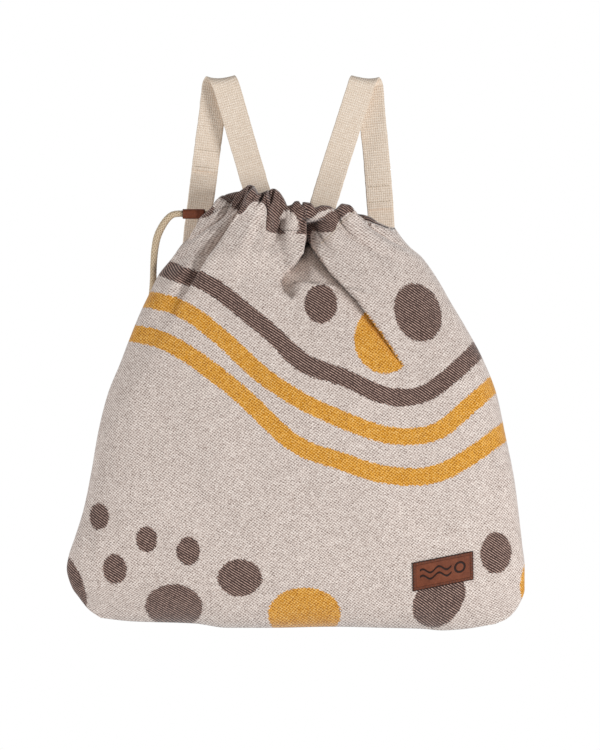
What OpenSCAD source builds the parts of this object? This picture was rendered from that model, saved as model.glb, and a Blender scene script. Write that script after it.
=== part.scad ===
// Drawstring backpack, hanging by the folds of its two webbing straps.
// The origin is the middle of the rod that passes under both folds.
// +Z is up, +X is the bag's right as its front is seen, and the front faces -Y.

/* [Bag] */
// Widest flat width of the bag, near its bottom
body_w = 432; // [420:2:444]
// Depth of the lightly filled bag
body_d = 104; // [100:1:106]
// Height from the bottom seam to the lower edge of the casing
body_h = 375; // [370:1:380]
// Thickness of the panels' cloth as a shell
cloth_t = 3; // [2.6:0.1:3.2]

/* [Mouth] */
// Height of the casing, the cord's tunnel
casing_h = 32; // [31:0.5:34]
// Thickness of the flattened tunnel
casing_t = 8.6; // [8.4:0.1:8.8]
// Thickness of the tunnel's cloth
casing_wall = 1.1; // [0.9:0.1:1.1]

/* [Straps] */
// Width of the webbing
web_w = 25; // [24:0.5:26]
// Thickness of the webbing
web_t = 2.4; // [2.0:0.1:2.4]

/* [Drawcord] */
// Diameter of the drawcord
cord_d = 6; // [5:0.1:6]
// Length of the leather slider
slider_l = 21; // [18:0.5:22]
// Height of the leather slider
slider_h = 9; // [8.6:0.1:10]
// Depth of the leather slider, across both strands
slider_d = 19; // [18.5:0.5:20]

/* [Label] */
// Length of the leather label
label_l = 58; // [50:1:60]
// Height of the leather label
label_h = 27.5; // [24:0.5:30]
// Turn of the label, its right end higher
label_tilt = 11; // [5:1:15]

/* [Hidden] */

bag_y = -40;                      // middle plane of the bag, in front of the rod
casing_top_z = -104;              // top of the casing below the rod
casing_z = casing_top_z - casing_h / 2;
mouth_z = casing_top_z - casing_h;
bottom_z = mouth_z - body_h;
half_w = body_w / 2;
half_d = body_d / 2;
section_power = 2.2;              // roundness of the bag's horizontal section
columns = 24;                     // columns of facets across a panel
gap = 0.3;                        // air between pieces that lie on each other

greige = [0.78, 0.74, 0.71];
dark_brown = [0.35, 0.28, 0.25];
cream = [0.88, 0.82, 0.74];
tan_cord = [0.80, 0.72, 0.60];
leather = [0.34, 0.17, 0.13];
thread = [0.93, 0.88, 0.78];

// Outline of the bag by height: share of the height, then left, right and depth as shares of half the
// size, then how far the section is the bag's (1) or the mouth's (0)
PROFILE = [
    [0.000, 0.70, 0.74, 0.00, 1],
    [0.011, 0.83, 0.89, 0.17, 1],
    [0.032, 0.89, 0.94, 0.35, 1],
    [0.075, 0.95, 0.98, 0.56, 1],
    [0.155, 1.00, 0.99, 0.79, 1],
    [0.260, 0.94, 0.97, 0.92, 1],
    [0.372, 0.90, 0.945, 0.98, 1],
    [0.532, 0.85, 0.90, 1.00, 1],
    [0.665, 0.77, 0.82, 0.965, 1],
    [0.771, 0.70, 0.73, 0.90, 1],
    [0.851, 0.63, 0.64, 0.83, 1],
    [0.918, 0.55, 0.546, 0.77, 0.85],
    [0.963, 0.472, 0.468, 0.70, 0.45],
    [1.000, 0.40, 0.385, 0.64, 0]
];

// Middle line of the front casing in plan, from the right seam to the cord's exit at the left;
// the back casing is its mirror image
MOUTH = [
    [78, 0], [76, -12], [68, -21], [50, -27], [25, -29], [0, -29],
    [-25, -29], [-50, -24], [-68, -13], [-77, -6.5], [-84, -4.5]
];
mouth_steps = 3;                  // stations on each stretch of the mouth's line
strand_y = 4.5;                   // each strand of the cord from the bag's middle plane

// Route of the free drawcord: out of the front casing, through the slider, down behind the bag,
// round a bend and back up into the back casing
CORD_ROUTE = [
    [-84, -44.5, -122], [-98, -44.5, -122], [-113.5, -44.5, -122], [-120.5, -44.4, -125.5], [-127, -44, -134],
    [-131.5, -43, -144], [-134.3, -41.5, -156], [-136, -39.5, -169], [-137, -36.5, -182], [-139.5, -29.5, -196],
    [-143, -21, -211], [-145, -15.5, -226], [-146, -11.5, -242], [-147.5, -8.5, -259], [-149, -5.5, -276],
    [-151, -3.5, -293], [-153, -3, -310], [-154.5, -2.5, -326], [-151, -1, -335], [-142, 1.5, -338.5],
    [-133, 4, -335], [-129.5, 4.5, -326], [-129.5, 4, -310], [-130, 3, -293], [-130.5, 1, -276],
    [-131, -1.5, -259], [-131.5, -5, -242], [-132.5, -8.5, -226], [-134, -13, -211], [-136, -19, -196],
    [-136.5, -26, -182], [-135.5, -31, -169], [-133.5, -33.5, -156], [-130.5, -35, -144], [-126, -35.4, -134],
    [-120, -35.5, -125.5], [-113.5, -35.5, -122], [-98, -35.5, -122], [-84, -35.5, -122]
];
cord_z = -122;

// Middle lines of the straps, as [x, y, z, turn of the width about Y]
fold_r = 6.5;                     // rod, and half the webbing, at the fold
boundary_z = -102.7;              // where the free webbing leaves the sewn top end
LEFT_FRONT = [[-36.6, -5.2, boundary_z, 16], [-44, -5.6, -77, 16], [-52, -6, -50, 16],
              [-60, -6.3, -22, 16], [-65, -6.5, -5, 14]];
LEFT_BACK = [[-77.5, 6.5, -3, -5], [-80.5, 6.5, -30, -6.5], [-84, 6.5, -56, -6.5], [-87, 6.5, -80, -6.5]];
LEFT_LOWER = [[-84, 9, -56, -6.5], [-87, 9, -80, -6.5], [-95.5, 9, -150, -5], [-99.5, 8.8, -215, -4.5],
              [-102.5, 8.6, -265, -4.6], [-106.5, 8.5, -315, -4.6], [-111, 7.7, -371, -4.7],
              [-115, 5.1, -413, -4.7], [-117.2, 2.3, -440, -4.7]];
LEFT_TOP_END = [[-36.2, -5.1, -104.2, 16], [-30, -4.6, -125, 16], [-26.5, -4.1, -137, 16],
                [-22, -1.3, -152, 16]];
LEFT_BOTTOM_END = [[-117.3, 2.1, -440.5, -4.7], [-118.3, -0.8, -453, -4.7], [-119.3, -5, -466, -4.7],
                   [-120.3, -10, -479, -4.7]];
RIGHT_FRONT = [[28, -5.2, boundary_z, -17.8], [36, -5.6, -77, -17.8], [44.7, -6, -50, -17.8],
               [53.7, -6.3, -22, -17.8], [59.3, -6.5, -5, -15]];
RIGHT_BACK = [[70, 6.5, -3, 3], [72, 6.5, -30, 4], [75, 6.5, -60, 4], [77.5, 6.5, -90, 4],
              [79.5, 6.5, -116, 4]];
RIGHT_LOWER = [[77.5, 9, -90, 4], [79.5, 9, -116, 4], [81.5, 9, -150, 4], [84.2, 9.2, -215, 4],
               [86.5, 9.8, -265, 4], [90.5, 10.3, -315, 4], [95, 9.7, -371, 4], [98.3, 6.9, -413, 4],
               [100.2, 3.6, -440, 4]];
RIGHT_TOP_END = [[27.6, -5.1, -104.2, -17.8], [21, -4.6, -125, -17.8], [17, -4.1, -137, -17.8],
                 [12.3, -1.1, -152, -17.8]];
RIGHT_BOTTOM_END = [[100.3, 3.4, -440.5, 4], [101.1, 0.5, -453, 4], [102, -3.8, -466, 4],
                    [103, -8.6, -479, 4]];
left_fold_x = [-66.5, -77];
right_fold_x = [60.5, 69.5];

stitch_l = 3.2;
stitch_w = 0.9;
stitch_t = 0.6;
label_x = 137;
label_z = bottom_z + 54;
label_t = 1.6;

// ---- numbers along tables and curves ----

function profile(share, column) = lookup(share, [for (row = PROFILE) [row[0], row[column]]]);
function share_of(z) = (z - bottom_z) / body_h;
function side_width(z, side) = half_w * profile(share_of(z), side < 0 ? 1 : 2);
function depth(z) = half_d * profile(share_of(z), 3);
function unit(v) = v / norm(v);
function signed_power(v, p) = sign(v) * pow(abs(v), p);

// Distance of the bag's outer face from its middle plane at x, z
function face_depth(x, z) =
    let (share = min(1, abs(x) / side_width(z, x)))
    depth(z) * pow(1 - pow(share, section_power), 1 / section_power);

// Catmull-Rom curve through the points of a list, at u from 0 to the last index
function between(a, b, c, d, f) =
    0.5 * (2 * b + (c - a) * f + (2 * a - 5 * b + 4 * c - d) * f * f + (3 * b - a - 3 * c + d) * f * f * f);
function curve_at(list, u) =
    let (last = len(list) - 1, i = min(floor(u), last - 1))
    between(list[max(i - 1, 0)], list[i], list[i + 1], list[min(i + 2, last)], u - i);

// Mouth line at u, moved outwards by off; side is -1 for the front and 1 for the back
function mouth_point(u, off, side) =
    let (last = len(MOUTH) - 1,
         step = curve_at(MOUTH, min(u + 0.05, last)) - curve_at(MOUTH, max(u - 0.05, 0)),
         way = u == 0 ? [0, -1] : u == last ? [-1, 0] : unit(step),
         p = curve_at(MOUTH, u) + off * [-way[1], way[0]])
    [p[0], bag_y - side * p[1]];

// ---- closed meshes ----

function quad(a, b, c, d) = [[a, b, c], [a, c, d]];

// Faces of a shell between an outer and an inner grid of points, rows by cols cells
function shell_faces(rows, cols, flip) =
    let (n = (rows + 1) * (cols + 1),
         grid = [for (r = [0 : rows - 1], c = [0 : cols - 1])
             let (a = r * (cols + 1) + c, b = a + 1, d = a + cols + 1, e = d + 1)
             each concat(quad(a, d, e, b), quad(n + a, n + b, n + e, n + d))],
         ends = [for (c = [0 : cols - 1])
             let (a = c, d = rows * (cols + 1) + c)
             each concat(quad(a, a + 1, n + a + 1, n + a), quad(d, n + d, n + d + 1, d + 1))],
         sides = [for (r = [0 : rows - 1])
             let (a = r * (cols + 1), d = a + cols)
             each concat(quad(a, n + a, n + a + cols + 1, a + cols + 1),
                         quad(d, d + cols + 1, n + d + cols + 1, n + d))],
         all = concat(grid, ends, sides))
    [for (f = all) flip ? f : [f[0], f[2], f[1]]];

// Solid through a list of rings that all have the same number of points
module loft(rings, flip = false) {
    n = len(rings[0]);
    last = len(rings) - 1;
    walls = [for (r = [0 : last - 1], k = [0 : n - 1])
        let (m = (k + 1) % n)
        each quad(r * n + k, (r + 1) * n + k, (r + 1) * n + m, r * n + m)];
    caps = [[for (k = [0 : n - 1]) k], [for (k = [0 : n - 1]) last * n + n - 1 - k]];
    faces = concat(walls, caps);
    polyhedron([for (ring = rings) each ring],
               flip ? [for (f = faces) [for (k = [len(f) - 1 : -1 : 0]) f[k]]] : faces, convexity = 8);
}

// Round tube along a route; across is a direction that the route never takes
function tube_rings(route, d, sides, across) =
    let (last = len(route) - 1)
    [for (i = [0 : last])
        let (way = unit(route[min(i + 1, last)] - route[max(i - 1, 0)]),
             e1 = unit(cross(way, across)), e2 = cross(way, e1))
        [for (k = [0 : sides - 1])
            let (a = 360 * (k + 0.5) / sides) route[i] + d / 2 * (cos(a) * e1 + sin(a) * e2)]];

function xyz(p) = [p[0], p[1], p[2]];

// Flat webbing along a middle line of [x, y, z, turn] points, out and in from that line
function web_rings(line, out, in, w) =
    let (last = len(line) - 1)
    [for (i = [0 : last])
        let (p = xyz(line[i]), turn = line[i][3],
             way = unit(xyz(line[min(i + 1, last)]) - xyz(line[max(i - 1, 0)])),
             wide = [cos(turn), 0, sin(turn)], thick = unit(cross(way, wide)))
        [p + wide * w / 2 + thick * out, p - wide * w / 2 + thick * out,
         p - wide * w / 2 - thick * in, p + wide * w / 2 - thick * in]];

module webbing(line) {
    loft(web_rings(line, web_t / 2, web_t / 2, web_w));
}

// The fold of a strap over the rod, between its front and back stretches
function fold(xs, turn0, turn1) =
    [for (a = [15 : 30 : 165])
        let (f = a / 180)
        [xs[0] + (xs[1] - xs[0]) * f, -fold_r * cos(a), fold_r * sin(a), turn0 + (turn1 - turn0) * f]];

// Stitch at a share f along a webbing line, moved across by side, on its face towards +Y or -Y
module web_stitch(line, f, across, face) {
    last = len(line) - 1;
    u = f * last;
    p = curve_at(line, u);
    way = unit(xyz(curve_at(line, min(u + 0.05, last))) - xyz(curve_at(line, max(u - 0.05, 0))));
    wide = [cos(p[3]), 0, sin(p[3])];
    thick = unit(cross(way, wide)) * (cross(way, wide)[1] * face > 0 ? 1 : -1);
    mid = xyz(p) + wide * across + thick * (web_t / 2 + gap);
    loft([for (s = [-1, 1]) let (e = mid + wide * s * stitch_l / 2)
        [e - way * stitch_w / 2, e + way * stitch_w / 2,
         e + way * stitch_w / 2 + thick * stitch_t, e - way * stitch_w / 2 + thick * stitch_t]], face < 0);
}

// Rows of stitches across webbing at the given shares of its line
module stitch_rows(line, shares, face) {
    for (f = shares, k = [-2 : 2])
        web_stitch(line, f, k * (web_w - 6) / 5, face);
}

// ---- the bag ----

// Point of a panel: v is the share of the height, c the column, in is the depth into the cloth
function panel_point(v, c, in, side) =
    let (near = max(0, 1 - v * body_h / 24),
         z = bottom_z + v * body_h + in * near,
         a = 180 * c / columns,
         blend = profile(v, 4),
         w = side_width(bottom_z + v * body_h, cos(a)) - in,
         d = max(0, half_d * profile(v, 3) - in * sqrt(1 - near * near)),
         power = 2 / section_power,
         bag = [w * signed_power(cos(a), power), bag_y + side * d * pow(max(0, sin(a)), power)],
         last = len(MOUTH) - 1,
         rim = c == columns ? [MOUTH[last][0] + in, bag_y]
             : mouth_point(c / columns * last, casing_t / 2 - in, side),
         p = blend * bag + (1 - blend) * rim)
    [p[0], p[1], z];

module panel(side) {
    shares = [for (i = [0 : len(PROFILE) - 2], f = [0, 0.5])
        PROFILE[i][0] * (1 - f) + PROFILE[i + 1][0] * f];
    all = concat(shares, [1]);
    points = concat([for (v = all, c = [0 : columns]) panel_point(v, c, 0, side)],
                    [for (v = all, c = [0 : columns]) panel_point(v, c, cloth_t, side)]);
    polyhedron(points, shell_faces(len(all) - 1, columns, side > 0), convexity = 8);
}

module front_panel() {
    color(greige) panel(-1);
}

module back_panel() {
    color(greige) panel(1);
}

// Bound seam allowance that stands inside the bag along one side
seam_w = 8;
seam_t = 2;
module side_seam(side) {
    inner = cloth_t + 2 * gap;
    heights = [for (v = [0.075, 0.155, 0.26, 0.372, 0.532, 0.665, 0.771, 0.851]) bottom_z + v * body_h];
    outer = [for (z = heights) [side * (side_width(z, side) - inner), z]];
    back = [for (k = [len(heights) - 1 : -1 : 0]) outer[k] - [side * seam_w, 0]];
    translate([0, bag_y + seam_t / 2, 0])
        rotate([90, 0, 0])
            linear_extrude(seam_t)
                polygon(concat(outer, back));
}

module side_seam_left() {
    color(dark_brown) side_seam(-1);
}

module side_seam_right() {
    color(dark_brown) side_seam(1);
}

module bottom_seam() {
    foot = bottom_z + cloth_t + 1.2;
    color(dark_brown)
        translate([-half_w * 0.63, bag_y - seam_t / 2, foot])
            cube([half_w * 1.31, seam_t, seam_w]);
}

// ---- casing ----

// Flat tunnel section: off from the mouth's line and height about the casing's middle
function tunnel(t, h) = [
    [t / 2, h / 2 - t / 3], [t / 6, h / 2], [-t / 6, h / 2], [-t / 2, h / 2 - t / 3],
    [-t / 2, t / 3 - h / 2], [-t / 6, -h / 2], [t / 6, -h / 2], [t / 2, t / 3 - h / 2]];

module casing(side) {
    stations = (len(MOUTH) - 1) * mouth_steps;
    sections = [tunnel(casing_t, casing_h), tunnel(casing_t - 2 * casing_wall, casing_h - 2 * casing_wall)];
    n = 8;
    points = [for (section = sections, i = [0 : stations], q = section)
        let (p = mouth_point(i / mouth_steps, q[0], side)) [p[0], p[1], casing_z + q[1]]];
    inner = (stations + 1) * n;
    walls = [for (i = [0 : stations - 1], k = [0 : n - 1])
        let (a = i * n + k, b = i * n + (k + 1) % n)
        each concat(quad(a, b, b + n, a + n),
                    quad(inner + a, inner + a + n, inner + b + n, inner + b))];
    rims = [for (i = [0, stations], k = [0 : n - 1])
        let (a = i * n + k, b = i * n + (k + 1) % n)
        each i == 0 ? quad(a, inner + a, inner + b, b) : quad(a, b, inner + b, inner + a)];
    faces = concat(walls, rims);
    polyhedron(points, side < 0 ? [for (f = faces) [f[0], f[2], f[1]]] : faces, convexity = 8);
}

module casing_front() {
    color(dark_brown) casing(-1);
}

module casing_back() {
    color(dark_brown) casing(1);
}

// Running stitches along the lower edge of a casing, on its outer face
stitch_pitch = 0.28;
module casing_stitches(side) {
    last = len(MOUTH) - 1;
    low = casing_z - casing_h / 2 + 5;
    for (u = [0.3 : stitch_pitch : last - 0.3]) {
        half = 0.075;
        ends = [for (s = [-1, 1]) [mouth_point(u + s * half, casing_t / 2 + gap / 4, side),
                                   mouth_point(u + s * half, casing_t / 2 + stitch_t, side)]];
        loft([for (e = ends) [[e[0][0], e[0][1], low], [e[0][0], e[0][1], low + stitch_w],
                              [e[1][0], e[1][1], low + stitch_w], [e[1][0], e[1][1], low]]], side < 0);
    }
}

module casing_front_stitching() {
    color(thread) casing_stitches(-1);
}

module casing_back_stitching() {
    color(thread) casing_stitches(1);
}

// ---- drawcord ----

module drawcord_in_casing() {
    last = len(MOUTH) - 1;
    stations = 2 * last;
    there = [for (i = [stations : -1 : 0]) mouth_point(i / 2, 0, -1)];
    back = [for (i = [1 : stations]) mouth_point(i / 2, 0, 1)];
    route = [for (p = concat(there, back)) [p[0], p[1], cord_z]];
    color(tan_cord) loft(tube_rings(route, cord_d, 8, [0, 0, 1]));
}

module drawcord_loop() {
    color(tan_cord) loft(tube_rings(CORD_ROUTE, cord_d, 8, [0, 1, 0]));
}

slider_x = -107;                  // far end of the slider
slider_corner = 2.5;
bore_r = cord_d / 2 + 0.3;
module cord_slider() {
    color(leather)
        translate([slider_x, bag_y, cord_z])
            rotate([0, 90, 0])
                difference() {
                    hull()
                        for (a = [-1, 1], b = [-1, 1])
                            translate([a * (slider_h / 2 - slider_corner),
                                       b * (slider_d / 2 - slider_corner), 0])
                                cylinder(h = slider_l, r = slider_corner, $fn = 24);
                    for (s = [-1, 1])
                        translate([0, s * strand_y, -1])
                            cylinder(h = slider_l + 2, r = bore_r, $fn = 32);
                }
}

module slider_stitching() {
    color(thread)
        for (k = [0 : 3], s = [0, 1])
            translate([slider_x + 3 + k * 4.4, bag_y - stitch_w / 2,
                       cord_z + (s == 0 ? slider_h / 2 : -slider_h / 2 - stitch_t)])
                cube([stitch_l - 0.4, stitch_w, stitch_t]);
}

// ---- label ----

// Point over the front panel, at along and up on the turned label, off the cloth
function label_point(along, up, off) =
    let (x = label_x + along * cos(label_tilt) - up * sin(label_tilt),
         z = label_z + along * sin(label_tilt) + up * cos(label_tilt))
    [x, bag_y - face_depth(x, z) - off, z];

module label_patch(along0, along1, up0, up1, off0, off1, cells) {
    rows = 4 * cells;
    cols = 8 * cells;
    points = [for (off = [off1, off0], r = [0 : rows], c = [0 : cols])
        label_point(along0 + (along1 - along0) * c / cols, up0 + (up1 - up0) * r / rows, off)];
    polyhedron(points, shell_faces(rows, cols, true), convexity = 4);
}

module label() {
    color(leather) label_patch(-label_l / 2, label_l / 2, -label_h / 2, label_h / 2, gap, gap + label_t, 1);
}

module label_stitching() {
    inset = 2.2;
    along = label_l / 2 - inset;
    up = label_h / 2 - inset;
    count_along = 11;
    count_up = 4;
    low = gap + label_t + gap / 4;
    color(thread) {
        for (k = [0 : count_along - 1], s = [-1, 1]) {
            x = -along + (k + 0.5) * 2 * along / count_along;
            label_patch(x - stitch_l / 2, x + stitch_l / 2, s * up - stitch_w / 2, s * up + stitch_w / 2,
                        low, low + stitch_t, 0.25);
        }
        for (k = [0 : count_up - 1], s = [-1, 1]) {
            y = -up + (k + 0.5) * 2 * up / count_up;
            label_patch(s * along - stitch_w / 2, s * along + stitch_w / 2,
                        y - stitch_l / 2, y + stitch_l / 2, low, low + stitch_t, 0.25);
        }
    }
}

// ---- straps ----

LEFT_UPPER = concat(LEFT_FRONT, fold(left_fold_x, 13, -4), LEFT_BACK);
RIGHT_UPPER = concat(RIGHT_FRONT, fold(right_fold_x, -14, 2), RIGHT_BACK);
end_rows = [0.3, 0.5, 0.7, 0.9];
lap_rows_left = [0.03, 0.095];
lap_rows_right = [0.03, 0.095];

module strap_left_top_end() {
    color(cream) webbing(LEFT_TOP_END);
}

module strap_left_top_stitching() {
    color(thread) stitch_rows(LEFT_TOP_END, end_rows, 1);
}

module strap_left_upper() {
    color(cream) webbing(LEFT_UPPER);
}

module strap_left_lap_stitching() {
    color(thread) stitch_rows(LEFT_LOWER, lap_rows_left, 1);
}

module strap_left_lower() {
    color(cream) webbing(LEFT_LOWER);
}

module strap_left_bottom_end() {
    color(cream) webbing(LEFT_BOTTOM_END);
}

module strap_left_bottom_stitching() {
    color(thread) stitch_rows(LEFT_BOTTOM_END, end_rows, 1);
}

module strap_right_top_end() {
    color(cream) webbing(RIGHT_TOP_END);
}

module strap_right_top_stitching() {
    color(thread) stitch_rows(RIGHT_TOP_END, end_rows, 1);
}

module strap_right_upper() {
    color(cream) webbing(RIGHT_UPPER);
}

module strap_right_lap_stitching() {
    color(thread) stitch_rows(RIGHT_LOWER, lap_rows_right, 1);
}

module strap_right_lower() {
    color(cream) webbing(RIGHT_LOWER);
}

module strap_right_bottom_end() {
    color(cream) webbing(RIGHT_BOTTOM_END);
}

module strap_right_bottom_stitching() {
    color(thread) stitch_rows(RIGHT_BOTTOM_END, end_rows, 1);
}

front_panel();
back_panel();
side_seam_left();
side_seam_right();
bottom_seam();
casing_front();
casing_back();
casing_front_stitching();
casing_back_stitching();
drawcord_in_casing();
drawcord_loop();
cord_slider();
slider_stitching();
label();
label_stitching();
strap_left_top_end();
strap_left_top_stitching();
strap_left_upper();
strap_left_lap_stitching();
strap_left_lower();
strap_left_bottom_end();
strap_left_bottom_stitching();
strap_right_top_end();
strap_right_top_stitching();
strap_right_upper();
strap_right_lap_stitching();
strap_right_lower();
strap_right_bottom_end();
strap_right_bottom_stitching();
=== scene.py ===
"""Looks of the drawstring backpack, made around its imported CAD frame.

Sizes are in millimetres until a mesh is made, in the CAD frame: +Z up, the front faces -Y, and the
origin is the middle of the rod under the straps' folds. Heights h are measured from the line that the
bag's bottom nearly touches, which is ROD_H below the rod.
"""

import math

import bmesh
import bpy
import numpy as np
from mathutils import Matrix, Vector
from mathutils.bvhtree import BVHTree


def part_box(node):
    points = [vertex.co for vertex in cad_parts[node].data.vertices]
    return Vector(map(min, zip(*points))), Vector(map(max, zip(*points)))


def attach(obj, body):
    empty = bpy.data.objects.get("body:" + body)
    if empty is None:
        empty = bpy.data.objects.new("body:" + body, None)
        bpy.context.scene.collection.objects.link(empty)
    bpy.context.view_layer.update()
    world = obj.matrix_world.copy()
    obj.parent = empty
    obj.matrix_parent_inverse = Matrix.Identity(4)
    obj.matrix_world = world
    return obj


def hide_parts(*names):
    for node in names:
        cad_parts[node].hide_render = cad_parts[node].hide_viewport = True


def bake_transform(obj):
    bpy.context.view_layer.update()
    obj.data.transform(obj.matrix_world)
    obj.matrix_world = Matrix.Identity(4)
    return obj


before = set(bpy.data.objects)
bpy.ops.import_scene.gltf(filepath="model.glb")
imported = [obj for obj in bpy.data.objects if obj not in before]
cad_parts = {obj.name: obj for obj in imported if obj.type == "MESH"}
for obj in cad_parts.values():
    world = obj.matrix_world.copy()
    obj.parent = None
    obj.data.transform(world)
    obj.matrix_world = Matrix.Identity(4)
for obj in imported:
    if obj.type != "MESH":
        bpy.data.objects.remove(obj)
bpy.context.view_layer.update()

MM = 0.001
ROD_H = 515.0
BAG_Y = -40.0


# ---------------------------------------------------------------- numbers

def curve(table, x):
    """Smooth curve without overshoot through [(x, y), ...], at x."""
    xs, ys = (np.array(v, float) for v in zip(*table))
    step = np.diff(xs)
    slope = np.diff(ys) / step
    m = np.zeros(len(xs))
    m[0], m[-1] = slope[0], slope[-1]
    same = slope[:-1] * slope[1:] > 0
    w1, w2 = 2 * step[1:] + step[:-1], step[1:] + 2 * step[:-1]
    with np.errstate(divide="ignore", invalid="ignore"):
        inner = (w1 + w2) / (w1 / slope[:-1] + w2 / slope[1:])
    m[1:-1] = np.where(same, inner, 0)
    x = np.clip(np.asarray(x, float), xs[0], xs[-1])
    k = np.clip(np.searchsorted(xs, x, side="right") - 1, 0, len(xs) - 2)
    t = (x - xs[k]) / step[k]
    return (ys[k] * (1 + 2 * t) * (1 - t) ** 2 + m[k] * step[k] * t * (1 - t) ** 2
            + ys[k + 1] * t * t * (3 - 2 * t) + m[k + 1] * step[k] * t * t * (t - 1))


def step(low, high, x):
    t = np.clip((x - low) / (high - low), 0, 1)
    return t * t * (3 - 2 * t)


def bump(x):
    """Bell of height 1 and half width about 1."""
    return np.exp(-x * x * 2)


def catmull(points, u):
    """Catmull-Rom curve through rows of points, at u from 0 to the last index."""
    p = np.asarray(points, float)
    last = len(p) - 1
    u = np.clip(np.atleast_1d(u), 0, last)
    i = np.minimum(u.astype(int), last - 1)
    f = (u - i)[:, None]
    a, b, c, d = p[np.maximum(i - 1, 0)], p[i], p[i + 1], p[np.minimum(i + 2, last)]
    return 0.5 * (2 * b + (c - a) * f + (2 * a - 5 * b + 4 * c - d) * f ** 2
                  + (3 * b - a - 3 * c + d) * f ** 3)


def even_path(points, spacing):
    """The same curve with points about spacing apart."""
    fine = catmull(points, np.linspace(0, len(points) - 1, 40 * len(points)))
    length = np.r_[0, np.cumsum(np.linalg.norm(np.diff(fine[:, :3], axis=0), axis=1))]
    at = np.linspace(0, length[-1], max(3, int(round(length[-1] / spacing)) + 1))
    return np.stack([np.interp(at, length, fine[:, k]) for k in range(fine.shape[1])], 1), length[-1]


def soft_noise(x, y, size, seed):
    """Smooth noise from -1 to 1 with features of that size."""
    lattice = np.random.RandomState(seed).uniform(-1, 1, (64, 64))
    x, y = x / size + 13.3, y / size + 7.7
    i, j = np.floor(x).astype(int), np.floor(y).astype(int)
    fx, fy = x - i, y - j
    fx, fy = fx * fx * (3 - 2 * fx), fy * fy * (3 - 2 * fy)

    def at(a, b):
        return lattice[a % 64, b % 64]

    return ((at(i, j) * (1 - fx) + at(i + 1, j) * fx) * (1 - fy)
            + (at(i, j + 1) * (1 - fx) + at(i + 1, j + 1) * fx) * fy)


def unit(v):
    return v / np.maximum(np.linalg.norm(v, axis=-1, keepdims=True), 1e-9)


def along(line, x, h):
    """Signed distance to a broken line (positive on its right as it goes down) and the share along it."""
    p = np.array(line, float)
    seg = np.diff(p, axis=0)
    size = np.linalg.norm(seg, axis=1)
    start = np.r_[0, np.cumsum(size)]
    best = np.full(x.shape, 1e9)
    side = np.zeros(x.shape)
    share = np.zeros(x.shape)
    for k in range(len(seg)):
        rx, rh = x - p[k, 0], h - p[k, 1]
        t = (rx * seg[k, 0] + rh * seg[k, 1]) / size[k] ** 2
        tc = np.clip(t, 0, 1)
        dist = np.hypot(rx - tc * seg[k, 0], rh - tc * seg[k, 1])
        cross = (seg[k, 0] * rh - seg[k, 1] * rx) / size[k]
        near = dist < best
        best = np.where(near, dist, best)
        side = np.where(near, np.sign(cross) * dist, side)
        share = np.where(near, (start[k] + tc * size[k]) / start[-1], share)
    return side, share


# ---------------------------------------------------------------- meshes

def mesh_piece(name, points, faces, material, uv=None, values=None):
    mesh = bpy.data.meshes.new(name)
    mesh.from_pydata((np.asarray(points) * MM).tolist(), [], [list(map(int, f)) for f in faces])
    mesh.validate()
    mesh.polygons.foreach_set("use_smooth", [True] * len(mesh.polygons))
    index = np.zeros(len(mesh.loops), int)
    mesh.loops.foreach_get("vertex_index", index)
    if uv is not None:
        layer = mesh.uv_layers.new(name="cloth")
        layer.data.foreach_set("uv", np.asarray(uv, float)[index].ravel())
    for key, value in (values or {}).items():
        attribute = mesh.attributes.new(key, "FLOAT", "POINT")
        attribute.data.foreach_set("value", np.asarray(value, np.float32))
    mesh.materials.append(material)
    mesh.update()
    piece = bpy.data.objects.new(name, mesh)
    bpy.context.collection.objects.link(piece)
    return piece


def grid_faces(rows, cols, closed=False):
    """Quads of a grid with rows by cols points. A closed grid joins its last column to its first."""
    faces = []
    for r in range(rows - 1):
        for c in range(cols if closed else cols - 1):
            d = (c + 1) % cols
            faces.append((r * cols + c, r * cols + d, (r + 1) * cols + d, (r + 1) * cols + c))
    return faces


def outward(piece):
    bm = bmesh.new()
    bm.from_mesh(piece.data)
    bmesh.ops.recalc_face_normals(bm, faces=bm.faces)
    bm.to_mesh(piece.data)
    bm.free()


def apply_modifiers(piece):
    bpy.context.view_layer.update()
    graph = bpy.context.evaluated_depsgraph_get()
    mesh = bpy.data.meshes.new_from_object(piece.evaluated_get(graph), depsgraph=graph)
    piece.modifiers.clear()
    piece.data = mesh


def thicken(piece, thickness):
    """Gives cloth its thickness, on its inner side."""
    modifier = piece.modifiers.new("cloth", "SOLIDIFY")
    modifier.thickness = thickness * MM
    modifier.offset = -1
    modifier.use_even_offset = False
    apply_modifiers(piece)


def capped_faces(rings, sides):
    """Faces of a closed tube of rings with its two ends."""
    last = (rings - 1) * sides
    ends = [list(range(sides))[::-1], list(range(last, last + sides))]
    return grid_faces(rings, sides, closed=True) + ends


def settle(piece, body, node):
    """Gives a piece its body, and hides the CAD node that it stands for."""
    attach(piece, body)
    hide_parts(node)


# ---------------------------------------------------------------- materials

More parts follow.
